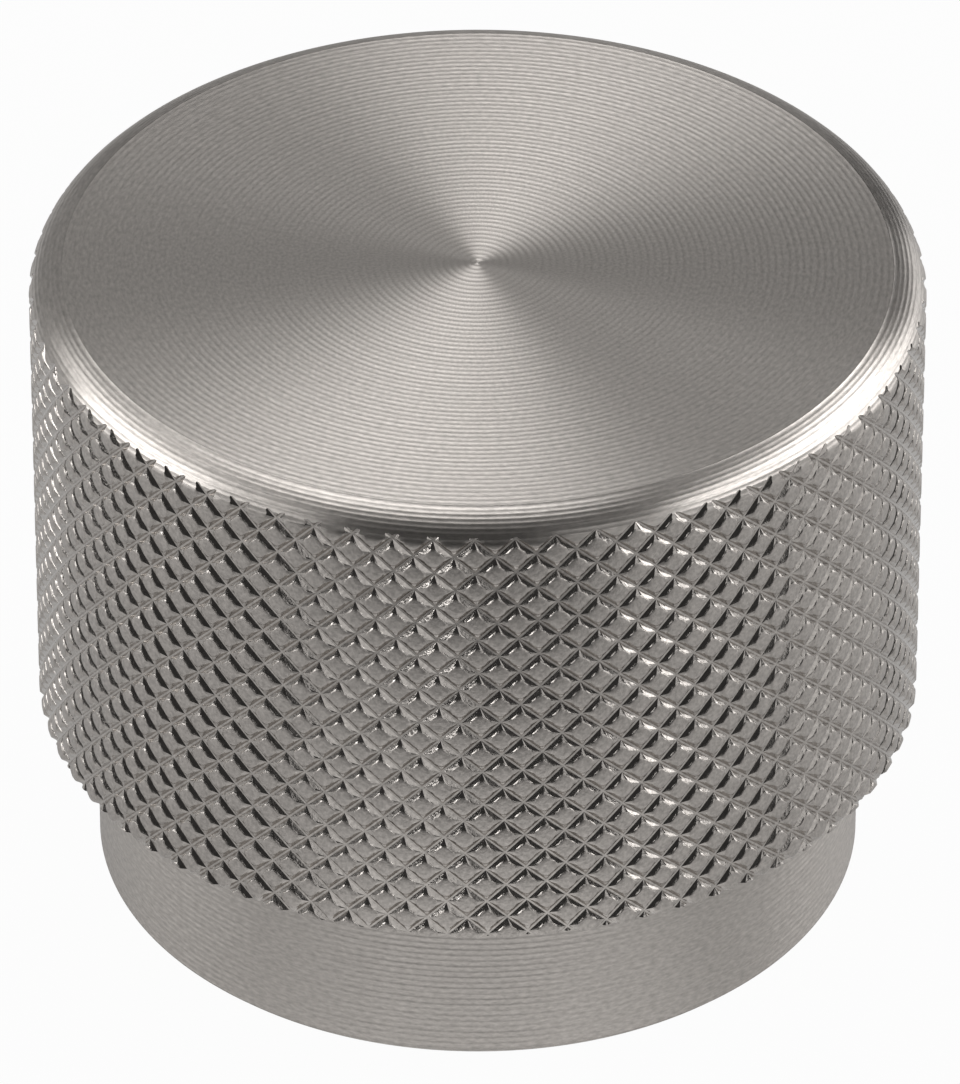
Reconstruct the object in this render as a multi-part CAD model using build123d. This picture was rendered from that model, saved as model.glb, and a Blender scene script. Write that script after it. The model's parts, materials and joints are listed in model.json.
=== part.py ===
from build123d import *

import os
from math import ceil, cos, degrees, pi, radians, sin, tan

# A cabinet knob turned from one length of stainless bar: a broad head with a diamond
# knurl round its side, standing on a plain foot that is a little narrower, with a blind
# tapped hole up the middle for the fixing screw. It is one piece of metal, so it is one
# solid.
#
# Millimetres. +Z is up and is the axis of the lathe. The foot's flat face lies on z = 0,
# and the origin is the centre of that face.

# Head and foot
HEAD_DIAMETER = 32.0  # over the crests of the knurl
KNOB_HEIGHT = 25.0  # from the cabinet's face to the top of the knob
SHOULDER_WIDTH = 2.1  # how far the head overhangs the foot all round
FOOT_HEIGHT = 7.0
FOOT_EDGE_CHAMFER = 0.3

# Bevel that breaks the top edge
TOP_BEVEL_WIDTH = 0.9  # across, seen from above
TOP_BEVEL_ANGLE = 40.0  # down from the flat top face

# Diamond knurl: V grooves in two opposite helices leave raised pads with flat crests
KNURL_STARTS = 56  # grooves of each hand
KNURL_HELIX_ANGLE = 45.0  # from the axis
GROOVE_DEPTH = 0.27
CREST_WIDTH = 0.72  # across the flats of a pad
FIRST_CROSSING_DROP = 0.6  # from the top face to the highest ring of groove crossings

# Tapped hole for the fixing screw, left at its tapping size
TAP_DRILL_DIAMETER = 3.3  # for an M4 thread
HOLE_DEPTH = 11.0  # to the end of the full bore
DRILL_POINT_ANGLE = 118.0
MOUTH_DIAMETER = 4.6  # of the 90 degree countersink

# How far the rough blank stands outside the turned form that trims it
TRIM_ALLOWANCE = 1.0

head_radius = HEAD_DIAMETER / 2
foot_radius = head_radius - SHOULDER_WIDTH
valley_radius = head_radius - GROOVE_DEPTH

# A pad and its share of the grooves fill one cell of the knurl. Cells are rhombi, and
# each row sits half a cell round from the row above it.
half_cell_turn = pi / KNURL_STARTS
half_cell_width = head_radius * half_cell_turn
half_cell_height = half_cell_width / tan(radians(KNURL_HELIX_ANGLE))
groove_pitch = 2 * half_cell_width * cos(radians(KNURL_HELIX_ANGLE))
crest_share = CREST_WIDTH / groove_pitch

rows_above_first_crossing = ceil(FIRST_CROSSING_DROP / half_cell_height)
top_row_height = (
    KNOB_HEIGHT - FIRST_CROSSING_DROP + rows_above_first_crossing * half_cell_height
)
row_count = ceil((top_row_height - FOOT_HEIGHT) / half_cell_height) + 1
bottom_row_height = top_row_height - (row_count - 1) * half_cell_height


def polar(radius: float, turn: float, height: float) -> Vector:
    """Point at a radius, an angle round the axis in radians and a height."""
    return Vector(radius * cos(turn), radius * sin(turn), height)


def mirrored(point: Vector, side: int, end: int) -> Vector:
    """Copy of a point with its Y times side and its Z times end, each 1 or -1."""
    return Vector(point.X, side * point.Y, end * point.Z)


def polygon(corners: list[Vector]) -> Face:
    """Flat face with these corners."""
    return Face(Wire.make_polygon(corners))


def make_pad() -> list[Face]:
    """Crest and four flanks of one pad, facing +X and centred on z = 0.

    The cell's corners are groove crossings. Each flank holds the groove's floor line
    between two crossings, and the crest's side corner fixes its slope. The crest is
    flat, with its two side corners on the head's full radius.
    """
    crossing_beside = polar(valley_radius, half_cell_turn, 0)
    crossing_above = polar(valley_radius, 0, half_cell_height)
    crest_side = polar(head_radius, crest_share * half_cell_turn, 0)

    floor_line = crossing_beside - crossing_above
    flank = Plane(
        origin=crossing_above,
        x_dir=floor_line,
        z_dir=floor_line.cross(crest_side - crossing_above),
    )
    crest_end = Vector(flank.intersect(Axis((crest_side.X, 0, 0), (0, 0, 1))))

    faces = [
        polygon(
            [
                mirrored(corner, side, end)
                for corner in (crossing_beside, crossing_above, crest_end, crest_side)
            ]
        )
        for side, end in ((1, 1), (-1, 1), (-1, -1), (1, -1))
    ]
    crest = [
        crest_side,
        crest_end,
        mirrored(crest_side, -1, 1),
        mirrored(crest_end, 1, -1),
    ]
    return faces + [polygon(crest)]


def knurled_rows() -> list[Face]:
    """Faces of every pad in the knurl, row by row from the top."""
    pad = make_pad()
    faces = []
    for row in range(row_count):
        height = top_row_height - row * half_cell_height
        for start in range(KNURL_STARTS):
            turn = degrees((2 * start + row % 2) * half_cell_turn)
            place = Location((0, 0, height), (0, 0, turn))
            faces += [face.moved(place) for face in pad]
    return faces


def closing_wall(row: int, outward: int, end_height: float) -> list[Face]:
    """Wall and flat end that close the knurl beyond its first or last row.

    The pads of the row leave a rim that zigzags from crossing to crossing. The wall
    runs straight from it to end_height. outward is 1 for the top and -1 for the bottom.
    """
    row_height = top_row_height - row * half_cell_height
    rim = []
    for step in range(2 * KNURL_STARTS):
        reach = half_cell_height if step % 2 == row % 2 else 0
        height = row_height + outward * reach
        rim.append(polar(valley_radius, step * half_cell_turn, height))
    end = [Vector(point.X, point.Y, end_height) for point in rim]
    wall = [
        polygon([rim[step - 1], rim[step], end[step], end[step - 1]])
        for step in range(len(rim))
    ]
    return wall + [polygon(end)]


def knurled_blank() -> Solid:
    """Bar with the whole knurl on it, too long at both ends."""
    top_end = top_row_height + half_cell_height + TRIM_ALLOWANCE
    faces = (
        knurled_rows()
        + closing_wall(0, 1, top_end)
        + closing_wall(row_count - 1, -1, -TRIM_ALLOWANCE)
    )
    return Solid(Shell(faces))


def turned_form() -> Solid:
    """What the lathe leaves: foot, shoulder, top face, bevel and tapped hole.

    The bevel runs on past the head's radius, so beside the knurl this form is wider
    than the head and trims only the knurl's two ends.
    """
    top_face_radius = head_radius - TOP_BEVEL_WIDTH
    trim_radius = head_radius + TRIM_ALLOWANCE
    trim_drop = (trim_radius - top_face_radius) * tan(radians(TOP_BEVEL_ANGLE))

    hole_radius = TAP_DRILL_DIAMETER / 2
    countersink_depth = (MOUTH_DIAMETER - TAP_DRILL_DIAMETER) / 2
    drill_point = hole_radius / tan(radians(DRILL_POINT_ANGLE / 2))

    outline = [
        (MOUTH_DIAMETER / 2, 0),
        (foot_radius - FOOT_EDGE_CHAMFER, 0),
        (foot_radius, FOOT_EDGE_CHAMFER),
        (foot_radius, FOOT_HEIGHT),
        (trim_radius, FOOT_HEIGHT),
        (trim_radius, KNOB_HEIGHT - trim_drop),
        (top_face_radius, KNOB_HEIGHT),
        (0, KNOB_HEIGHT),
        (0, HOLE_DEPTH + drill_point),
        (hole_radius, HOLE_DEPTH),
        (hole_radius, countersink_depth),
    ]
    section = Plane.XZ * make_face(Polyline(*outline, close=True))
    return revolve(section, Axis.Z).solid()


knob = (knurled_blank() & turned_form()).solid()

print(f"knurl: {row_count} rows of {KNURL_STARTS}, groove pitch {groove_pitch:.3f} mm")
print(f"lowest row of pads at z = {bottom_row_height:.3f} mm")
print(f"knob: {knob.volume:.1f} mm3, {len(knob.faces())} faces")

os.makedirs("parts", exist_ok=True)
export_step(knob, "parts/knob.step", write_pcurves=False)
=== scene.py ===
"""A knurled stainless steel cabinet knob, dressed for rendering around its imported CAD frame.

The knob is machined from one bar. It is drawn here as four closed pieces that overlap out of
sight: the ring-turned face, the knurled head with its rounded edge, the ring-turned foot, and
the tapped hole that takes the fixing screw. All lengths are in metres, +Z up, foot at z = 0.
"""

import json
import logging
import math
from dataclasses import dataclass
from enum import Enum
from typing import Any, Iterable, Mapping, Optional, Sequence, Union

import bmesh
import bpy
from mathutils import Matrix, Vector

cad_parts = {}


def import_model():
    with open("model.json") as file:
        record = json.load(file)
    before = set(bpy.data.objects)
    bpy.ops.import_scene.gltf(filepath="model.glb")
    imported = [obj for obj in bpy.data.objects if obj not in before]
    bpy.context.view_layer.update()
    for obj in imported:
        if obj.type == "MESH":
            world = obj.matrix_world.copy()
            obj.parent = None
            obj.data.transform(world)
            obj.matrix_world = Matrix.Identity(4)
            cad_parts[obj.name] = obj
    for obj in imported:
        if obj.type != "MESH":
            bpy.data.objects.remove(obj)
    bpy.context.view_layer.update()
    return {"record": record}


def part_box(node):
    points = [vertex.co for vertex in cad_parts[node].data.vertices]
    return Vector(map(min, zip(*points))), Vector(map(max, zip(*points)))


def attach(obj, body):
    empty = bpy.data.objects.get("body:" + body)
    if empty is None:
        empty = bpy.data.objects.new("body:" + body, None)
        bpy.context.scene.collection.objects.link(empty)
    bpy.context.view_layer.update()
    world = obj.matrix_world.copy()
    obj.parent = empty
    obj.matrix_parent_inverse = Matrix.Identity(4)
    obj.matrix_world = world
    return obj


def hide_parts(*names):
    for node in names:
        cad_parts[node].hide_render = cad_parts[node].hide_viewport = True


LOG = logging.getLogger("knob")
NODE = "knob"
BODY = "root"
MM = 0.001
CREST_CLEARANCE = 0.005 * MM
TOP_CLEARANCE = 0.001 * MM
NOISE_LOW, NOISE_HIGH = 0.3, 0.7
RING_GUARD = 0.001
WHITE = (1.0, 1.0, 1.0, 1.0)
ROLLED_STEEL = "rolled_steel"

Source = Union[bpy.types.NodeSocket, float, int, str, Sequence[float], bpy.types.ID, None]


class Axis(Enum):
    """The names of a vector's three parts, as node sockets call them."""

    X = "X"
    Y = "Y"
    Z = "Z"


class Graph:
    """A node tree that is being wired, for geometry or for a shader."""

    def __init__(self, tree: bpy.types.NodeTree) -> None:
        """Keeps the tree and clears its nodes."""
        self.tree = tree
        tree.nodes.clear()

    def node(
        self, kind: str, inputs: Optional[Mapping[Any, Source]] = None, **settings: Any
    ) -> bpy.types.Node:
        """Adds a node and wires or sets its inputs.

        Args:
            kind: The node's type name.
            inputs: A socket or a plain value for each input, by name or by index.
            settings: Properties of the node itself.

        Returns:
            The new node.
        """
        made = self.tree.nodes.new(kind)
        for name, value in settings.items():
            setattr(made, name, value)
        for key, value in (inputs or {}).items():
            self.feed(made.inputs[key], value)
        return made

    def feed(self, socket: bpy.types.NodeSocket, value: Source) -> None:
        """Links a socket to another one, or sets its plain value.

        Args:
            socket: The input to feed.
            value: Where it comes from.
        """
        if isinstance(value, bpy.types.NodeSocket):
            self.tree.links.new(value, socket)
        elif value is not None:
            socket.default_value = value

    def math(self, operation: str, a: Source, b: Source = None, c: Source = None) -> bpy.types.NodeSocket:
        """Does a sum such as ADD on one, two or three numbers."""
        return self.node("ShaderNodeMath", {0: a, 1: b, 2: c}, operation=operation).outputs[0]

    def join(self, x: Source, y: Source, z: Source) -> bpy.types.NodeSocket:
        """Makes a vector of three numbers."""
        return self.node("ShaderNodeCombineXYZ", {0: x, 1: y, 2: z}).outputs[0]

    def part(self, vector: Source, axis: Axis) -> bpy.types.NodeSocket:
        """Takes one part of a vector."""
        return self.node("ShaderNodeSeparateXYZ", {0: vector}).outputs[axis.value]

    def blend(self, low: Source, high: Source, share: Source) -> bpy.types.NodeSocket:
        """Goes from the low number to the high one as the share goes from 0 to 1."""
        return self.node("ShaderNodeMix", {0: share, 2: low, 3: high}, data_type="FLOAT").outputs[0]

    def span(self, value: Source, low: float, high: float) -> bpy.types.NodeSocket:
        """Finds how far a number has come from low to high, held between 0 and 1."""
        inputs = {"Value": value, "From Min": low, "From Max": high}
        return self.node("ShaderNodeMapRange", inputs).outputs[0]

    def length(self, x: Source, y: Source) -> bpy.types.NodeSocket:
        """Finds how far a place lies from the knob's axis."""
        squares = (self.math("MULTIPLY", side, side) for side in (x, y))
        return self.math("SQRT", self.math("ADD", *squares))

    def noise(
        self, place: Source, scale: float, detail: float = 2.0, rough: float = 0.5
    ) -> bpy.types.NodeSocket:
        """Reads soft noise from 0 to 1, with finer layers as strong as rough says."""
        inputs = {"Vector": place, "Scale": scale, "Detail": detail, "Roughness": rough}
        return self.node("ShaderNodeTexNoise", inputs).outputs[0]


class ShapeTree(Graph):
    """A Geometry Nodes tree with named inputs, which turns one carrier mesh into a finished one."""

    def __init__(self, name: str) -> None:
        """Makes the tree with its geometry going in and out.

        Args:
            name: The tree's name.
        """
        super().__init__(bpy.data.node_groups.new(name, "GeometryNodeTree"))
        face = self.tree.interface
        face.new_socket("Geometry", in_out="INPUT", socket_type="NodeSocketGeometry")
        face.new_socket("Geometry", in_out="OUTPUT", socket_type="NodeSocketGeometry")
        self.entry = self.tree.nodes.new("NodeGroupInput")
        self.exit = self.tree.nodes.new("NodeGroupOutput")
        self.values: dict[str, Any] = {}

    def size(self, name: str, value: Union[float, int, bpy.types.ID]) -> bpy.types.NodeSocket:
        """Adds a named input and keeps the value that its modifier will get.

        Args:
            name: The input's name.
            value: Its value.

        Returns:
            The socket that gives the value inside the tree.
        """
        kinds = {
            int: "NodeSocketInt",
            float: "NodeSocketFloat",
            bpy.types.Material: "NodeSocketMaterial",
            bpy.types.Object: "NodeSocketObject",
        }
        made = self.tree.interface.new_socket(name, in_out="INPUT", socket_type=kinds[type(value)])
        self.values[made.identifier] = value
        return self.entry.outputs[name]

    def attribute(self, name: str, kind: str = "FLOAT") -> bpy.types.NodeSocket:
        """Reads a named attribute of the carrier mesh."""
        return self.node("GeometryNodeInputNamedAttribute", {"Name": name}, data_type=kind).outputs[0]

    def finish(self, shape: bpy.types.NodeSocket, material: bpy.types.NodeSocket) -> None:
        """Ends the tree in smooth shading, Realize Instances and Set Material.

        Args:
            shape: The geometry to give out.
            material: The material that it gets.
        """
        smooth = self.node("GeometryNodeSetShadeSmooth", {"Geometry": shape})
        real = self.node("GeometryNodeRealizeInstances", {"Geometry": smooth.outputs[0]})
        inputs = {"Geometry": real.outputs[0], "Material": material}
        self.feed(self.exit.inputs[0], self.node("GeometryNodeSetMaterial", inputs).outputs[0])

    def grow(self, carrier: bpy.types.Mesh, name: str) -> bpy.types.Mesh:
        """Runs the tree on a carrier mesh and keeps the result as a plain mesh.

        Args:
            carrier: The mesh that goes in.
            name: The name of the mesh that comes out.

        Returns:
            The plain mesh.
        """
        holder = bpy.data.objects.new(name + "_carrier", carrier)
        bpy.context.scene.collection.objects.link(holder)
        modifier = holder.modifiers.new("Shape", "NODES")
        modifier.node_group = self.tree
        for identifier, value in self.values.items():
            modifier[identifier] = value
        evaluated = holder.evaluated_get(bpy.context.evaluated_depsgraph_get())
        mesh = bpy.data.meshes.new_from_object(evaluated)
        mesh.name = name
        holder.modifiers.remove(modifier)
        bpy.data.objects.remove(holder)
        return mesh


def set_attribute(mesh: bpy.types.Mesh, name: str, values: Sequence[float]) -> None:
    """Writes one number for each vertex of a mesh."""
    mesh.attributes.new(name, "FLOAT", "POINT").data.foreach_set("value", list(values))


def set_vectors(mesh: bpy.types.Mesh, name: str, values: Iterable[Vector]) -> None:
    """Writes one vector for each vertex of a mesh."""
    flat = [number for value in values for number in value]
    mesh.attributes.new(name, "FLOAT_VECTOR", "POINT").data.foreach_set("vector", flat)


def keep_one_material(mesh: bpy.types.Mesh, material: bpy.types.Material) -> None:
    """Leaves a mesh with one material slot, which all its faces use.

    Args:
        mesh: The mesh.
        material: Its finish.
    """
    mesh.materials.clear()
    mesh.materials.append(material)
    mesh.polygons.foreach_set("material_index", [0] * len(mesh.polygons))


def place(mesh: bpy.types.Mesh, name: str) -> bpy.types.Object:
    """Puts a finished mesh into the scene as a piece of the knob.

    Args:
        mesh: The mesh, in the CAD's own frame.
        name: The piece's name.

    Returns:
        The piece, riding on the knob's body and standing for its CAD node.
    """
    piece = bpy.data.objects.new(name, mesh)
    bpy.context.scene.collection.objects.link(piece)
    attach(piece, BODY)
    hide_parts(NODE)
    return piece


# ---------------------------------------------------------------------------------------------
# Finishes
# ---------------------------------------------------------------------------------------------


@dataclass(frozen=True)
class Steel:
    """Bare stainless steel as a shader."""

    colour: tuple[float, float, float, float] = (0.498, 0.467, 0.438, 1.0)

    def shader(
        self,
        graph: Graph,
        rough: Source,
        bump: Source,
        tint: Source,
        grain: float = 0.0,
        grain_turn: float = 0.25,
        grain_way: Source = None,
    ) -> None:
        """Adds the shader and the material's output.

        Args:
            graph: The material's node tree.
            rough: The roughness.
            bump: The bent normal.
            tint: The colour.
            grain: How much more it scatters one way than the other.
            grain_turn: That way, as a share of a full turn.
            grain_way: The direction that the grain is measured from.
        """
        inputs = {
            "Base Color": tint,
            "Metallic": 1.0,
            "Roughness": rough,
            "Normal": bump,
            "Anisotropic": grain,
            "Anisotropic Rotation": grain_turn,
            "Tangent": grain_way,
        }
        shader = graph.node("ShaderNodeBsdfPrincipled", inputs)
        graph.node("ShaderNodeOutputMaterial", {"Surface": shader.outputs[0]})

    def tinted(self, graph: Graph, share: Source, low: float, high: float) -> bpy.types.NodeSocket:
        """Makes the steel's colour a little darker and lighter from place to place.

        Args:
            graph: The material's node tree.
            share: A number from 0 to 1 that says how light it is.
            low: The darkest level, as a share of the plain colour.
            high: The lightest level.

        Returns:
            The colour's socket.
        """
        ramp = graph.node("ShaderNodeValToRGB", {"Fac": share})
        for stop, level in zip(ramp.color_ramp.elements, (low, high)):
            stop.color = (*(level * part for part in self.colour[:3]), 1.0)
        return ramp.outputs[0]


@dataclass(frozen=True)
class TurnedFinish:
    """Steel as a lathe tool leaves it, with fine lines that run round the axis."""

    steel: Steel = Steel()
    lines_per_metre: float = 9000.0
    lines_per_radian: float = 9.0
    clouds_per_metre: float = 900.0
    roughness: float = 0.33
    roughness_spread: float = 0.015
    bump_height: float = 1.0e-6
    specks_per_radian: float = 45.0
    speck_levels: tuple[float, float] = (0.84, 1.16)
    grain: float = 0.8
    grain_turn: float = 0.25

    def material(self, name: str) -> bpy.types.Material:
        """Builds the node material.

        Args:
            name: The material's name.

        Returns:
            The material.
        """
        made = bpy.data.materials.new(name)
        made.use_nodes = True
        graph = Graph(made.node_tree)
        spot = graph.node("ShaderNodeTexCoord").outputs["Object"]
        x, y, z = (graph.part(spot, axis) for axis in Axis)
        radius = graph.length(x, y)
        turn = graph.math("ARCTAN2", y, x)
        across = graph.math("MULTIPLY", radius, self.lines_per_metre)
        up = graph.math("MULTIPLY", z, self.lines_per_metre)
        lathe = graph.join(across, graph.math("MULTIPLY", turn, self.lines_per_radian), up)
        lines = graph.noise(lathe, 1.0, detail=3.0, rough=0.6)
        cloud = graph.noise(spot, self.clouds_per_metre, detail=3.0, rough=0.55)
        spread = graph.math("SUBTRACT", cloud, 0.5)
        rough = graph.math("MULTIPLY_ADD", spread, 2 * self.roughness_spread, self.roughness)
        inputs = {"Strength": 1.0, "Distance": self.bump_height, "Height": lines}
        bump = graph.node("ShaderNodeBump", inputs).outputs[0]
        fine = graph.join(across, graph.math("MULTIPLY", turn, self.specks_per_radian), up)
        speck = graph.span(graph.noise(fine, 1.0, detail=2.0, rough=0.6), NOISE_LOW, NOISE_HIGH)
        tint = self.steel.tinted(graph, speck, *self.speck_levels)
        round_axis = graph.join(graph.math("MULTIPLY", y, -1.0), x, 0.0)
        way = graph.node("ShaderNodeVectorMath", {0: round_axis}, operation="NORMALIZE").outputs[0]
        self.steel.shader(graph, rough, bump, tint, self.grain, self.grain_turn, way)
        return made


@dataclass(frozen=True)
class RolledFinish:
    """Steel that a knurling wheel has rolled: mottled crests and burnished groove walls.

    crest_shares are the depths, as shares of the groove's, between which wall becomes crest.
    """

    crest_radius: float
    groove_depth: float
    steel: Steel = Steel()
    crest_roughness: float = 0.40
    groove_roughness: float = 0.15
    crest_shares: tuple[float, float] = (0.35, 0.12)
    grain_per_metre: float = 7000.0
    grain_height: float = 25.0e-6
    groove_grain: float = 0.25
    grain_levels: tuple[float, float] = (0.74, 1.14)

    def material(self, name: str) -> bpy.types.Material:
        """Builds the node material.

        Args:
            name: The material's name.

        Returns:
            The material.
        """
        made = bpy.data.materials.new(name)
        made.use_nodes = True
        graph = Graph(made.node_tree)
        spot = graph.node("ShaderNodeTexCoord").outputs["Object"]
        x, y = graph.part(spot, Axis.X), graph.part(spot, Axis.Y)
        limits = (self.crest_radius - share * self.groove_depth for share in self.crest_shares)
        crest = graph.span(graph.length(x, y), *limits)
        grain = graph.noise(spot, self.grain_per_metre, detail=3.0, rough=0.6)
        height = graph.math("MULTIPLY", grain, graph.blend(self.groove_grain, 1.0, crest))
        inputs = {"Strength": 1.0, "Distance": self.grain_height, "Height": height}
        bump = graph.node("ShaderNodeBump", inputs).outputs[0]
        rough = graph.blend(self.groove_roughness, self.crest_roughness, crest)
        sharper = graph.span(grain, NOISE_LOW, NOISE_HIGH)
        tint = self.steel.tinted(graph, sharper, *self.grain_levels)
        self.steel.shader(graph, rough, bump, tint)
        return made


# ---------------------------------------------------------------------------------------------
# Turned forms
# ---------------------------------------------------------------------------------------------


@dataclass(frozen=True)
class Station:
    """A corner of a turned profile: its radius and height, and if rings show on the cut after it."""

    r: float
    z: float
    ringed: bool = False


@dataclass(frozen=True)
class TurnedForm:
    """A closed form of revolution whose cuts show the lathe tool's rings.

    The profile runs with the metal on its right-hand side: up the axis is inside.
    """

    name: str
    stations: tuple[Station, ...]
    segments: int = 300
    feed: float = 0.25 * MM
    ring_depth: float = 17.0e-6
    steps_per_ring: int = 5
    uneven: float = 0.18
    seed: int = 7
    weld: float = 1.0e-7
    thread_depth: float = 0.0
    thread_bore: float = 0.0
    thread_pitch: float = 0.7 * MM
    thread_flank: tuple[float, float] = (0.2, 0.9)
    thread_from: float = 0.0
    thread_to: float = 0.0
    thread_fade: float = 0.4 * MM

    def carrier(self) -> bpy.types.Mesh:
        """Makes the profile as a line of points, with what the tree needs to know at each.

        Returns:
            A mesh with vertices only.
        """
        points: list[Vector] = []
        normals: list[Vector] = []
        along: list[float] = []
        rings: list[float] = []
        cut_before = 0
        for here, there in zip(self.stations, self.stations[1:]):
            run = Vector((there.r - here.r, 0.0, there.z - here.z))
            outward = Vector((-run.z, 0.0, run.x)).normalized()
            turns = max(1, round(run.length / self.feed))
            steps = turns * self.steps_per_ring if here.ringed else 1
            for step in range(steps):
                share = step / steps
                points.append(Vector((here.r, 0.0, here.z)) + share * run)
                normals.append(outward)
                along.append(cut_before + share * turns)
                rings.append(float(here.ringed))
            cut_before += turns
        last = self.stations[-1]
        points.append(Vector((last.r, 0.0, last.z)))
        normals.append(Vector((0.0, 0.0, 1.0)))
        along.append(float(cut_before))
        rings.append(0.0)
        mesh = bpy.data.meshes.new(self.name + "_profile")
        mesh.from_pydata(points, [], [])
        set_vectors(mesh, "outward", normals)
        set_attribute(mesh, "along", along)
        set_attribute(mesh, "ringed", rings)
        return mesh

    def mesh(self, material: bpy.types.Material) -> bpy.types.Mesh:
        """Turns the profile round the axis and cuts its rings.

        Args:
            material: The finish.

        Returns:
            The closed mesh.
        """
        profile = self.carrier()
        tree = ShapeTree(self.name)
        segments = tree.size("Segments", self.segments)
        depth = tree.size("Ring Depth", self.ring_depth)
        uneven = tree.size("Unevenness", self.uneven)
        seed = tree.size("Seed", self.seed)
        finish = tree.size("Material", material)
        rows = tree.size("Profile Points", len(profile.vertices))
        columns = tree.math("ADD", segments, 1.0)
        grid = tree.node("GeometryNodeMeshGrid", {"Vertices X": rows, "Vertices Y": columns})
        index = tree.node("GeometryNodeInputIndex").outputs[0]
        row = tree.math("FLOOR", tree.math("DIVIDE", tree.math("ADD", index, 0.5), columns))
        column = tree.math("SUBTRACT", index, tree.math("MULTIPLY", row, columns))
        turn = tree.math("MULTIPLY", tree.math("DIVIDE", column, segments), 2 * math.pi)

        def at_row(value: bpy.types.NodeSocket, kind: str) -> bpy.types.NodeSocket:
            """Reads a value of the profile at this vertex's row."""
            inputs = {"Geometry": tree.entry.outputs["Geometry"], "Value": value, "Index": row}
            return tree.node("GeometryNodeSampleIndex", inputs, data_type=kind).outputs[0]

        point = at_row(tree.node("GeometryNodeInputPosition").outputs[0], "FLOAT_VECTOR")
        outward = at_row(tree.attribute("outward", "FLOAT_VECTOR"), "FLOAT_VECTOR")
        along = at_row(tree.attribute("along"), "FLOAT")
        ringed = at_row(tree.attribute("ringed"), "FLOAT")
        ring = tree.math("FLOOR", tree.math("ADD", along, RING_GUARD))
        swing = tree.math("MULTIPLY_ADD", tree.math("SUBTRACT", along, ring), 2.0, -1.0)
        hollow = tree.math("SUBTRACT", tree.math("MULTIPLY", swing, swing), 1.0)
        chance = tree.node(
            "FunctionNodeRandomValue",
            {2: -1.0, 3: 1.0, "ID": ring, "Seed": seed},
            data_type="FLOAT",
        ).outputs[1]
        bite = tree.math("MULTIPLY_ADD", chance, uneven, 1.0)
        full_cut = tree.math("MULTIPLY", depth, ringed)
        cut = tree.math("MULTIPLY", tree.math("MULTIPLY", hollow, bite), full_cut)
        r = tree.math("MULTIPLY_ADD", tree.part(outward, Axis.X), cut, tree.part(point, Axis.X))
        z = tree.math("MULTIPLY_ADD", tree.part(outward, Axis.Z), cut, tree.part(point, Axis.Z))
        if self.thread_depth > 0.0:
            bore = tree.math("LESS_THAN", r, self.thread_bore)
            r = tree.math("MULTIPLY_ADD", self.thread(tree, z, turn), bore, r)
        where = tree.join(
            tree.math("MULTIPLY", r, tree.math("COSINE", turn)),
            tree.math("MULTIPLY", r, tree.math("SINE", turn)),
            z,
        )
        bent = tree.node("GeometryNodeSetPosition", {"Geometry": grid.outputs[0], "Position": where})
        inputs = {"Geometry": bent.outputs[0], "Distance": self.weld}
        tree.finish(tree.node("GeometryNodeMergeByDistance", inputs).outputs[0], finish)
        mesh = tree.grow(profile, self.name)
        keep_one_material(mesh, material)
        return mesh

    def thread(self, tree: ShapeTree, z: Source, turn: Source) -> bpy.types.NodeSocket:
        """Cuts an internal screw thread between two heights.

        Args:
            tree: The tree being wired.
            z: The height.
            turn: The angle round the axis.

        Returns:
            How much further out the wall lies.
        """
        depth = tree.size("Thread Depth", self.thread_depth)
        pitch = tree.size("Thread Pitch", self.thread_pitch)
        lead = tree.math("SUBTRACT", tree.math("DIVIDE", z, pitch), tree.math("DIVIDE", turn, 2 * math.pi))
        swing = tree.math("MULTIPLY_ADD", tree.math("FRACT", lead), 2.0, -1.0)
        peak = tree.math("SUBTRACT", 1.0, tree.math("ABSOLUTE", swing))
        groove = tree.span(peak, *self.thread_flank)
        rise = tree.span(z, self.thread_from, self.thread_from + self.thread_fade)
        fall = tree.span(z, self.thread_to, self.thread_to - self.thread_fade)
        inside = tree.math("MULTIPLY", rise, fall)
        return tree.math("MULTIPLY", tree.math("MULTIPLY", groove, depth), inside)


# ---------------------------------------------------------------------------------------------
# Knurl
# ---------------------------------------------------------------------------------------------


@dataclass(frozen=True)
class PadLine:
    """One closed line round a knurl pad.

    reach says how far its corners stand out, as a share of the tile's. Its sides bulge by the
    share bulge, drop is its depth below the crest, and crest is 1 where the steel is crest.
    """

    reach: float
    drop: float
    bulge: float = 0.0
    crest: float = 0.0
    steps: int = 1


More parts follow.
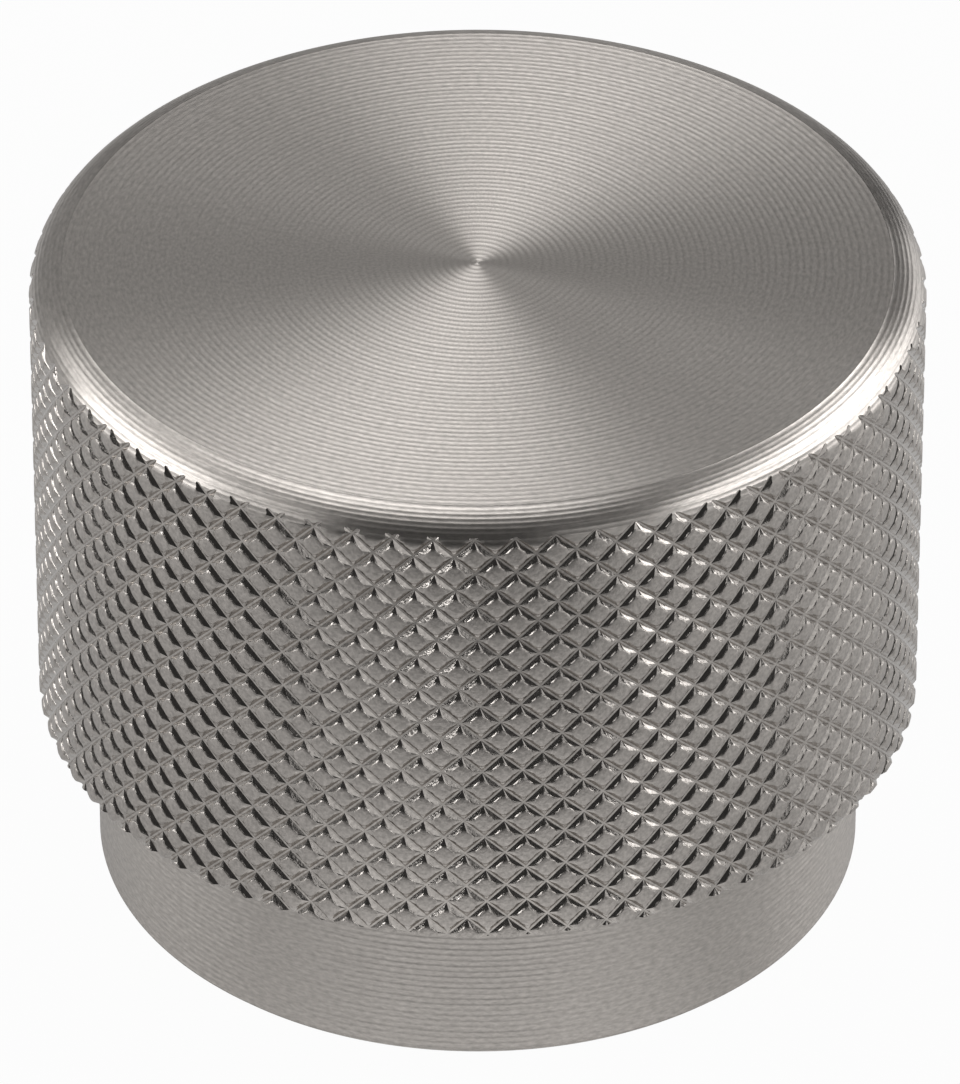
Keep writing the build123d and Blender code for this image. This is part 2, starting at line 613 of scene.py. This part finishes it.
@dataclass(frozen=True)
class KnurlPad:
    """One pad of the knurl with half of each groove round it: a diamond tile, drawn flat.

    X runs round the head, Y along its axis, and Z stands out from the crest surface. The crown
    keeps the middle of an uneven crest high. The band cuts off what would stand past the crests.
    """

    half_width: float
    half_height: float
    groove_depth: float
    floor_share: float = 0.07
    crest_reach: float = 0.445
    crest_bulge: float = 0.31
    edge_share: float = 0.04
    edge_drop: float = 0.012 * MM
    edge_crest: float = 0.9
    middle_share: float = 0.45
    crown: float = 0.006 * MM
    steps: int = 4

    def lines(self) -> tuple[PadLine, ...]:
        """Gives the pad's lines, from the middle of the groove up."""
        edge_reach = self.crest_reach + self.edge_share
        return (
            PadLine(1.0, self.groove_depth),
            PadLine(1.0 - self.floor_share, self.groove_depth),
            PadLine(edge_reach, self.edge_drop, self.crest_bulge, self.edge_crest, self.steps),
            PadLine(self.crest_reach, 0.0, self.crest_bulge, 1.0, self.steps),
            PadLine(self.middle_share * self.crest_reach, -self.crown, 0.0, 1.0),
        )

    def points(self, line: PadLine) -> list[Vector]:
        """Lays out one line of the pad.

        Args:
            line: The line.

        Returns:
            Its points, from the right-hand corner round.
        """
        corners = [Vector((1, 0, 0)), Vector((0, 1, 0)), Vector((-1, 0, 0)), Vector((0, -1, 0))]
        points = []
        for here, there in zip(corners, corners[1:] + corners[:1]):
            for step in range(line.steps):
                share = step / line.steps
                reach = line.reach * (1.0 + 4.0 * line.bulge * share * (1.0 - share))
                spot = here.lerp(there, share) * reach
                points.append(Vector((spot.x * self.half_width, spot.y * self.half_height, -line.drop)))
        return points

    def mesh(self) -> bpy.types.Mesh:
        """Builds the tile.

        Returns:
            The tile, with an attribute that is 1 on its crest and 0 in the groove.
        """
        points: list[Vector] = []
        on_crest: list[float] = []
        faces: list[tuple[int, ...]] = []
        below: list[int] = []
        for line in self.lines():
            ring = self.points(line)
            here = list(range(len(points), len(points) + len(ring)))
            points += ring
            on_crest += [line.crest] * len(ring)
            if below:
                faces += strip(below, here)
            below = here
        faces.append(tuple(below))
        mesh = bpy.data.meshes.new("knurl_pad")
        mesh.from_pydata(points, [], faces)
        set_attribute(mesh, "crest", on_crest)
        return mesh


def strip(outer: list[int], inner: list[int]) -> list[tuple[int, ...]]:
    """Joins two closed lines of points with faces.

    Args:
        outer: The outer line's points.
        inner: The inner line's, with as many points or a different number.

    Returns:
        The faces.
    """
    faces: list[tuple[int, ...]] = []
    i, j = 0, 0
    while i < len(outer) or j < len(inner):
        if len(outer) == len(inner):
            faces.append((outer[i], outer[(i + 1) % len(outer)], inner[(j + 1) % len(inner)], inner[j]))
            i, j = i + 1, j + 1
        elif (i + 0.5) / len(outer) <= (j + 0.5) / len(inner):
            faces.append((outer[i % len(outer)], outer[(i + 1) % len(outer)], inner[j % len(inner)]))
            i += 1
        else:
            faces.append((outer[i % len(outer)], inner[(j + 1) % len(inner)], inner[j % len(inner)]))
            j += 1
    return faces


@dataclass(frozen=True)
class KnurledBand:
    """The diamond knurl as one closed sleeve, longer than the head at both ends."""

    radius: float
    top: float
    bottom: float
    starts: int = 70
    groove_depth: float = 0.15 * MM
    first_crossing_drop: float = 0.756 * MM
    first_crossing_turn: float = -math.pi / 2 - math.radians(0.526)
    row_height: float = 0.7151 * MM
    rows_per_turn: int = 4
    lean: float = 1.764
    spare_rows: int = 2
    uneven_crest: float = 0.012 * MM
    uneven_pads: float = 0.4
    ripple: float = 2.0
    ripples_per_metre: float = 2600.0
    seed: int = 11
    weld: float = 1.0e-6
    tip: float = 2.0 * MM

    def mesh(self, material: bpy.types.Material) -> bpy.types.Mesh:
        """Lays pads out in a flat sheet, wraps it round the head and closes its ends.

        Args:
            material: The finish.

        Returns:
            The closed mesh.
        """
        half_width = math.pi * self.radius / self.starts
        pad = KnurlPad(half_width, self.row_height, self.groove_depth)
        first = self.top - self.first_crossing_drop + self.spare_rows * self.row_height
        rows = math.ceil((first - self.bottom) / self.row_height) + self.spare_rows + self.rows_per_turn
        climb = self.rows_per_turn * self.row_height / (2 * math.pi)
        tree = ShapeTree("knurled_band")
        starts = tree.size("Starts", self.starts)
        count = tree.size("Rows", rows)
        radius = tree.size("Head Radius", self.radius)
        row_height = tree.size("Row Height", self.row_height)
        lean = tree.size("Lean", self.lean)
        climb_input = tree.size("Climb", climb)
        top_row = tree.size("Top Row", first)
        first_turn = tree.size("First Turn", self.first_crossing_turn)
        uneven = tree.size("Unevenness", self.uneven_crest)
        seed = tree.size("Seed", self.seed)
        finish = tree.size("Material", material)
        index = tree.node("GeometryNodeInputIndex").outputs[0]
        row = tree.math("FLOOR", tree.math("DIVIDE", tree.math("ADD", index, 0.5), starts))
        column = tree.math("SUBTRACT", index, tree.math("MULTIPLY", row, starts))
        stagger = tree.math("MULTIPLY", tree.math("MODULO", tree.math("ADD", row, 1.0), 2.0), 0.5)
        cell = tree.math("DIVIDE", tree.math("MULTIPLY", radius, 2 * math.pi), starts)
        spot = tree.join(
            tree.math("MULTIPLY", tree.math("ADD", column, stagger), cell),
            tree.math("SUBTRACT", top_row, tree.math("MULTIPLY", row, row_height)),
            0.0,
        )
        total = tree.math("MULTIPLY", starts, count)
        points = tree.node("GeometryNodePoints", {"Count": total, "Position": spot})
        limits = {2: -1.0, 3: 1.0, "Seed": seed}
        chance = tree.node("FunctionNodeRandomValue", limits, data_type="FLOAT").outputs[1]
        inputs = {"Geometry": points.outputs[0], "Name": "lift", "Value": chance}
        marked = tree.node("GeometryNodeStoreNamedAttribute", inputs, data_type="FLOAT")
        inputs = {"Points": marked.outputs[0], "Instance": tree.entry.outputs["Geometry"]}
        laid = tree.node("GeometryNodeInstanceOnPoints", inputs)
        sheet = tree.node("GeometryNodeRealizeInstances", {"Geometry": laid.outputs[0]})
        crest = tree.attribute("crest")
        place_of = tree.node("GeometryNodeInputPosition").outputs[0]
        swell = tree.math("SUBTRACT", tree.noise(place_of, self.ripples_per_metre), 0.5)
        pad_lift = tree.math("MULTIPLY", tree.attribute("lift"), self.uneven_pads)
        lift = tree.math("ADD", pad_lift, tree.math("MULTIPLY", swell, self.ripple))
        rise = tree.math("MULTIPLY", tree.math("MULTIPLY", lift, uneven), crest)
        stand = tree.math("MINIMUM", tree.math("ADD", tree.part(place_of, Axis.Z), rise), 0.0)
        r = tree.math("ADD", radius, stand)
        below = tree.math("SUBTRACT", self.top, tree.part(place_of, Axis.Y))
        straight = tree.math("DIVIDE", tree.part(place_of, Axis.X), radius)
        leant = tree.math("MULTIPLY_ADD", below, lean, straight)
        past = tree.math("DIVIDE", leant, 1.0 + self.lean * climb)
        turn = tree.math("ADD", past, first_turn)
        wrapped = tree.join(
            tree.math("MULTIPLY", r, tree.math("COSINE", turn)),
            tree.math("MULTIPLY", r, tree.math("SINE", turn)),
            tree.math("MULTIPLY_ADD", past, climb_input, tree.part(place_of, Axis.Y)),
        )
        bent = tree.node("GeometryNodeSetPosition", {"Geometry": sheet.outputs[0], "Position": wrapped})
        inputs = {"Geometry": bent.outputs[0], "Distance": self.weld}
        tree.finish(tree.node("GeometryNodeMergeByDistance", inputs).outputs[0], finish)
        sleeve = tree.grow(pad.mesh(), "knurled_band")
        keep_one_material(sleeve, material)
        self.close_ends(sleeve)
        return sleeve

    def close_ends(self, sleeve: bpy.types.Mesh) -> None:
        """Closes both ends of the sleeve with a fan to a point on the axis.

        Args:
            sleeve: The open sleeve.
        """
        shell = bmesh.new()
        shell.from_mesh(sleeve)
        middle = 0.5 * (self.top + self.bottom)
        rims = [edge for edge in shell.edges if edge.is_boundary]
        upper = shell.verts.new((0.0, 0.0, self.top + self.tip))
        lower = shell.verts.new((0.0, 0.0, self.bottom - self.tip))
        for edge in rims:
            tip = upper if edge.verts[0].co.z > middle else lower
            loop = edge.link_loops[0]
            shell.faces.new((loop.link_loop_next.vert, loop.vert, tip))
        shell.to_mesh(sleeve)
        shell.free()


# ---------------------------------------------------------------------------------------------
# Sub-assemblies
# ---------------------------------------------------------------------------------------------


@dataclass
class Face:
    """The flat top face, cut from the rim to the centre in one pass."""

    top: float
    radius: float = 14.83 * MM
    thickness: float = 0.2 * MM
    ring_depth: float = 9.0e-6
    finish: TurnedFinish = TurnedFinish()

    def build(self) -> bpy.types.Object:
        """Builds and dresses the face.

        Returns:
            The piece.
        """
        under = self.top - self.thickness
        stations = (
            Station(0.0, self.top, ringed=True),
            Station(self.radius, self.top),
            Station(self.radius, under),
            Station(0.0, under),
        )
        form = TurnedForm("turned_face", stations, ring_depth=self.ring_depth)
        return place(form.mesh(self.finish.material("turned_steel_face")), "turned_face")


@dataclass
class Head:
    """The knurled head with its rounded upper edge and its square shoulder."""

    radius: float
    top: float
    shoulder: float = 7.0 * MM
    seat_depth: float = 0.1 * MM
    spare: float = 0.3 * MM
    plug_radius: float = 2.9 * MM
    plug_top: float = 13.4 * MM
    wall_slope: float = 28.0
    edge_start: float = 14.83 * MM
    edge_inset: float = 0.03 * MM
    edge_rings: int = 8
    edge_feed: float = 0.185 * MM
    edge_slopes: tuple[float, float] = (19.0, 72.0)
    edge_rounding: float = 1.8
    edge_ring_depth: float = 8.5e-6
    edge_foot: float = 2.0 * MM
    segments: int = 360
    sharp_angle: float = math.radians(38)
    finish: TurnedFinish = TurnedFinish()

    def edge(self) -> tuple[Station, ...]:
        """Rounds the upper edge over, one station for each ring of the tool.

        Returns:
            The stations, from the face out.
        """
        first, last = self.edge_slopes
        r, z = self.edge_start, self.top
        stations = [Station(r, z, ringed=True)]
        for ring in range(self.edge_rings):
            share = ((ring + 0.5) / self.edge_rings) ** self.edge_rounding
            slope = math.radians(first + (last - first) * share)
            r += self.edge_feed * math.cos(slope)
            z -= self.edge_feed * math.sin(slope)
            stations.append(Station(r, z, ringed=ring + 1 < self.edge_rings))
        return tuple(stations)

    def form(self) -> TurnedForm:
        """Gives the turned form that trims the knurl.

        Returns:
            The form, wider than the crests and exact at the edge and the shoulder.
        """
        seat = self.top - self.seat_depth
        rim = self.radius + self.spare
        stations = (
            Station(0.0, seat),
            Station(self.edge_start - self.edge_inset, seat),
            *self.edge(),
            Station(rim, self.top - self.edge_foot),
            Station(rim, self.shoulder),
            Station(self.plug_radius, self.shoulder),
            Station(self.plug_radius, self.plug_top),
            Station(0.0, self.plug_top),
        )
        return TurnedForm("head_form", stations, self.segments, self.edge_feed, self.edge_ring_depth)

    def build(self) -> bpy.types.Object:
        """Builds and dresses the head.

        Returns:
            The piece.
        """
        turned = self.form().mesh(self.finish.material("turned_steel_edge"))
        band = KnurledBand(self.radius, self.top, self.shoulder)
        rolled = RolledFinish(self.radius, band.groove_depth)
        steel = rolled.material(ROLLED_STEEL)
        mesh = self.trim(band.mesh(steel), turned, steel)
        mesh.set_sharp_from_angle(angle=self.sharp_angle)
        self.flatten_walls(mesh)
        return place(mesh, "knurled_head")

    def flatten_walls(self, mesh: bpy.types.Mesh) -> None:
        """Shades each face of the groove walls flat, so that the pads keep crisp facets.

        Args:
            mesh: The trimmed head.
        """
        flat = mesh.attributes.get("sharp_face") or mesh.attributes.new("sharp_face", "BOOLEAN", "FACE")
        limit = math.cos(math.radians(self.wall_slope))
        for face in mesh.polygons:
            if mesh.materials[face.material_index].name == ROLLED_STEEL:
                out = Vector((face.center.x, face.center.y, 0.0)).normalized()
                flat.data[face.index].value = face.normal.dot(out) < limit

    def trim(
        self, knurl: bpy.types.Mesh, turned: bpy.types.Mesh, steel: bpy.types.Material
    ) -> bpy.types.Mesh:
        """Keeps what lies inside both the knurled sleeve and the turned form.

        Args:
            knurl: The sleeve.
            turned: The form.
            steel: The sleeve's finish, which its own faces keep.

        Returns:
            The trimmed mesh.
        """
        other = bpy.data.objects.new("head_form", turned)
        bpy.context.scene.collection.objects.link(other)
        tree = ShapeTree("trimmed_head")
        info = tree.node("GeometryNodeObjectInfo", {"Object": tree.size("Turned Form", other)})
        finish = tree.size("Knurl Material", steel)
        both = tree.node("GeometryNodeMeshBoolean", operation="INTERSECT", solver="MANIFOLD")
        tree.feed(both.inputs["Mesh 2"], tree.entry.outputs["Geometry"])
        tree.feed(both.inputs["Mesh 2"], info.outputs["Geometry"])
        real = tree.node("GeometryNodeRealizeInstances", {"Geometry": both.outputs[0]}).outputs[0]
        rolled = tree.node("GeometryNodeMaterialSelection", {"Material": finish}).outputs[0]
        inputs = {"Geometry": real, "Selection": rolled, "Material": finish}
        tree.feed(tree.exit.inputs[0], tree.node("GeometryNodeSetMaterial", inputs).outputs[0])
        mesh = tree.grow(knurl, "knurled_head")
        bpy.data.objects.remove(other)
        return mesh


@dataclass
class Foot:
    """The smaller turned foot that stands on the cabinet."""

    radius: float = 13.9 * MM
    shoulder: float = 7.0 * MM
    edge: float = 0.3 * MM
    mouth_radius: float = 2.3 * MM
    ring_depth: float = 26.0e-6
    sunk: float = 0.2 * MM
    sunk_inset: float = 1.0 * MM
    segments: int = 260
    finish: TurnedFinish = TurnedFinish()

    def build(self) -> bpy.types.Object:
        """Builds and dresses the foot.

        Returns:
            The piece.
        """
        upper = self.shoulder + self.sunk
        stations = (
            Station(self.mouth_radius, upper),
            Station(self.radius - self.sunk_inset, upper),
            Station(self.radius, self.shoulder, ringed=True),
            Station(self.radius, self.edge, ringed=True),
            Station(self.radius - self.edge, 0.0, ringed=True),
            Station(self.mouth_radius, 0.0),
            Station(self.mouth_radius, upper),
        )
        form = TurnedForm("turned_foot", stations, self.segments, ring_depth=self.ring_depth)
        return place(form.mesh(self.finish.material("turned_steel_foot")), "turned_foot")


@dataclass
class TappedHole:
    """The blind hole with its screw thread, in a plug of the knob's own metal."""

    minor_radius: float
    wall_top: float
    mouth_radius: float = 2.3 * MM
    major_radius: float = 2.0 * MM
    plug_radius: float = 3.0 * MM
    plug_top: float = 13.5 * MM
    point_angle: float = math.radians(118)
    segments: int = 72
    wall_step: float = 0.35 * MM
    finish: TurnedFinish = TurnedFinish()

    def build(self) -> bpy.types.Object:
        """Builds and dresses the hole.

        Returns:
            The piece.
        """
        mouth_depth = self.mouth_radius - self.minor_radius
        apex = self.wall_top + self.minor_radius / math.tan(self.point_angle / 2)
        stations = (
            Station(0.0, self.plug_top),
            Station(self.plug_radius, self.plug_top),
            Station(self.plug_radius, self.plug_radius - self.mouth_radius),
            Station(self.mouth_radius, 0.0),
            Station(self.minor_radius, mouth_depth, ringed=True),
            Station(self.minor_radius, self.wall_top),
            Station(0.0, apex),
        )
        form = TurnedForm(
            "tapped_hole",
            stations,
            self.segments,
            self.wall_step,
            ring_depth=0.0,
            thread_depth=self.major_radius - self.minor_radius,
            thread_bore=self.major_radius,
            thread_from=mouth_depth,
            thread_to=self.wall_top,
        )
        return place(form.mesh(self.finish.material("turned_steel_hole")), "tapped_hole")


# ---------------------------------------------------------------------------------------------
# Studio
# ---------------------------------------------------------------------------------------------


@dataclass(frozen=True)
class SoftBox:
    """A rectangular lamp that faces the knob.

    Angles are in degrees: azimuth 0 is in front of the knob and 90 is to its right, and wide and
    tall are the angles that the lamp takes up as the knob sees it.
    """

    name: str
    azimuth: float
    elevation: float
    wide: float
    tall: float
    level: float
    distance: float = 0.7

    def build(self, target: Vector) -> None:
        """Hangs the lamp.

        Args:
            target: What it faces.
        """
        data = bpy.data.lights.new(self.name, "AREA")
        data.shape = "RECTANGLE"
        data.size = 2 * self.distance * math.tan(math.radians(self.wide) / 2)
        data.size_y = 2 * self.distance * math.tan(math.radians(self.tall) / 2)
        data.energy = self.level * math.pi * data.size * data.size_y
        lamp = bpy.data.objects.new(self.name, data)
        lamp.visible_camera = False
        bpy.context.scene.collection.objects.link(lamp)
        a, e = math.radians(self.azimuth), math.radians(self.elevation)
        away = Vector((math.sin(a) * math.cos(e), -math.cos(a) * math.cos(e), math.sin(e)))
        lamp.location = target + away * self.distance
        lamp.rotation_euler = (-away).to_track_quat("-Z", "Y").to_euler()


@dataclass
class Studio:
    """The pale floor, the lamps and the camera."""

    camera_elevation: float = math.radians(35.95)
    camera_distance: float = 424.96 * MM
    camera_pivot: float = 12.0 * MM
    aim: tuple[float, float, float] = (0.081 * MM, 0.0, 12.725 * MM)
    lens: float = 389.6
    sensor_width: float = 36.0
    clip_start: float = 0.05
    lamps: tuple[SoftBox, ...] = (
        SoftBox("behind", 190.0, 53.0, 12.0, 26.0, 0.5),
        SoftBox("behind_low", 180.0, 41.0, 15.0, 22.0, 0.5),
        SoftBox("overhead", 194.0, 65.0, 26.0, 30.0, 3.05),
        SoftBox("right", 110.0, 23.0, 42.0, 34.0, 1.7),
        SoftBox("right_high", 94.0, 42.0, 62.0, 20.0, 3.9),
        SoftBox("right_low", 122.0, 7.5, 60.0, 15.0, 1.9),
        SoftBox("left", 270.0, 21.5, 43.0, 17.0, 4.3),
        SoftBox("left_fill", 240.0, 23.0, 83.0, 34.0, 0.3),
        SoftBox("left_high", 272.0, 40.0, 78.0, 21.0, 1.9),
        SoftBox("front_right", 38.0, 18.0, 36.0, 26.0, 0.8),
    )
    room: float = 0.045
    white_seen: float = 0.97
    white_mirrored: float = 0.45
    floor_grey: float = 0.3
    floor_reach: float = 20.0
    floor_drop: float = 0.01 * MM
    # Where the painted light and shade lie in the floor's white that mirrors see, and how strong the
    # painted light close in front of the foot is.
    side_angles: tuple[float, float] = (math.radians(15.0), math.radians(45.0))
    near_radii: tuple[float, float] = (45.0 * MM, 25.0 * MM)
    painted_light_gain: float = 1.7

    def build(self) -> None:
        """Builds the studio."""
        self.build_camera()
        self.build_floor()
        self.build_room()
        for lamp in self.lamps:
            lamp.build(Vector((0.0, 0.0, self.camera_pivot)))

    def build_camera(self) -> None:
        """Sets the camera on its line of sight, level with the horizon."""
        data = bpy.data.cameras.new("camera")
        data.lens = self.lens
        data.sensor_width = self.sensor_width
        data.clip_start = self.clip_start
        camera = bpy.data.objects.new("camera", data)
        bpy.context.scene.collection.objects.link(camera)
        e = self.camera_elevation
        back = Vector((0.0, -math.cos(e), math.sin(e))) * self.camera_distance
        camera.location = Vector((0.0, 0.0, self.camera_pivot)) + back
        camera.rotation_euler = (Vector(self.aim) - camera.location).to_track_quat("-Z", "Y").to_euler()
        bpy.context.scene.camera = camera

    def build_floor(self) -> None:
        """Lays a floor just under the foot, plain white to the camera, with painted light and shade in the
        white that mirrors see.
        """
        mesh = bpy.data.meshes.new("floor")
        far = self.floor_reach
        sides = ((-far, -far), (far, -far), (far, far), (-far, far))
        mesh.from_pydata([(x, y, -self.floor_drop) for x, y in sides], [], [(0, 1, 2, 3)])
        floor = bpy.data.objects.new("floor", mesh)
        bpy.context.scene.collection.objects.link(floor)
        made = bpy.data.materials.new("white_floor")
        made.use_nodes = True
        graph = Graph(made.node_tree)
        path = graph.node("ShaderNodeLightPath").outputs
        seen = graph.math("MULTIPLY", path["Is Camera Ray"], self.white_seen)
        mirrored = graph.math("MAXIMUM", path["Is Glossy Ray"], path["Is Transmission Ray"])
        # Painted reflection: the white that mirrors see is painted darker in front past the foot and
        # brighter close in front of it, not lit by the lamps.
        level = graph.math("MULTIPLY", self.painted_reflection_share(graph), self.white_mirrored)
        share = graph.math("MAXIMUM", seen, graph.math("MULTIPLY", mirrored, level))
        matt = graph.node("ShaderNodeBsdfDiffuse", {"Color": (*[self.floor_grey] * 3, 1.0)})
        white = graph.node("ShaderNodeEmission", {"Color": WHITE, "Strength": 1.0})
        mix = graph.node("ShaderNodeMixShader", {0: share, 1: matt.outputs[0], 2: white.outputs[0]})
        graph.node("ShaderNodeOutputMaterial", {"Surface": mix.outputs[0]})
        mesh.materials.append(made)

    def painted_reflection_share(self, graph: Graph) -> bpy.types.NodeSocket:
        """Finds how much of the floor's white a mirror sees, as painted reflection: painted shade in
        front, past the foot, and painted light close in front of it.

        Args:
            graph: The floor's node tree.

        Returns:
            The share's socket.
        """
        spot = graph.node("ShaderNodeTexCoord").outputs["Object"]
        x, y = graph.part(spot, Axis.X), graph.part(spot, Axis.Y)
        turn = graph.math("ABSOLUTE", graph.math("ARCTAN2", x, graph.math("MULTIPLY", y, -1.0)))
        beside = graph.span(turn, *self.side_angles)
        near = graph.span(graph.length(x, y), *self.near_radii)
        under = graph.math("MULTIPLY", near, self.painted_light_gain)
        in_front = graph.math("SUBTRACT", 1.0, beside)
        return graph.math("ADD", beside, graph.math("MULTIPLY", in_front, under))

    def build_room(self) -> None:
        """Gives the room round the knob its plain grey level, and the view its white."""
        world = bpy.data.worlds.new("room")
        world.use_nodes = True
        graph = Graph(world.node_tree)
        seen = graph.node("ShaderNodeLightPath").outputs["Is Camera Ray"]
        strength = graph.math("MULTIPLY_ADD", seen, self.white_seen - self.room, self.room)
        level = graph.node("ShaderNodeBackground", {"Color": WHITE, "Strength": strength})
        graph.node("ShaderNodeOutputWorld", {"Surface": level.outputs[0]})
        bpy.context.scene.world = world


def main() -> None:
    """Builds the knob's pieces in order, then the studio."""
    logging.basicConfig(level=logging.INFO, format="%(name)s: %(message)s")
    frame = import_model()
    low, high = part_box(NODE)
    radius = 0.5 * (high.x - low.x) - CREST_CLEARANCE
    top = high.z - TOP_CLEARANCE
    mounts = {mount["name"]: mount["dims"] for mount in frame["record"]["mounts"]}
    hole = mounts["screw_hole"]
    hole_radius = hole["r_mm"] * MM
    wall_top = (TappedHole.mouth_radius - hole_radius) + hole["length_mm"] * MM
    pieces = (
        Face(top).build(),
        Head(radius, top).build(),
        Foot().build(),
        TappedHole(hole_radius, wall_top).build(),
    )
    for piece in pieces:
        piece.data.calc_loop_triangles()
        LOG.info("%s: %d triangles", piece.name, len(piece.data.loop_triangles))
    Studio().build()
    scene = bpy.context.scene
    scene.view_settings.view_transform = "Standard"


if __name__ == "__main__":
    main()
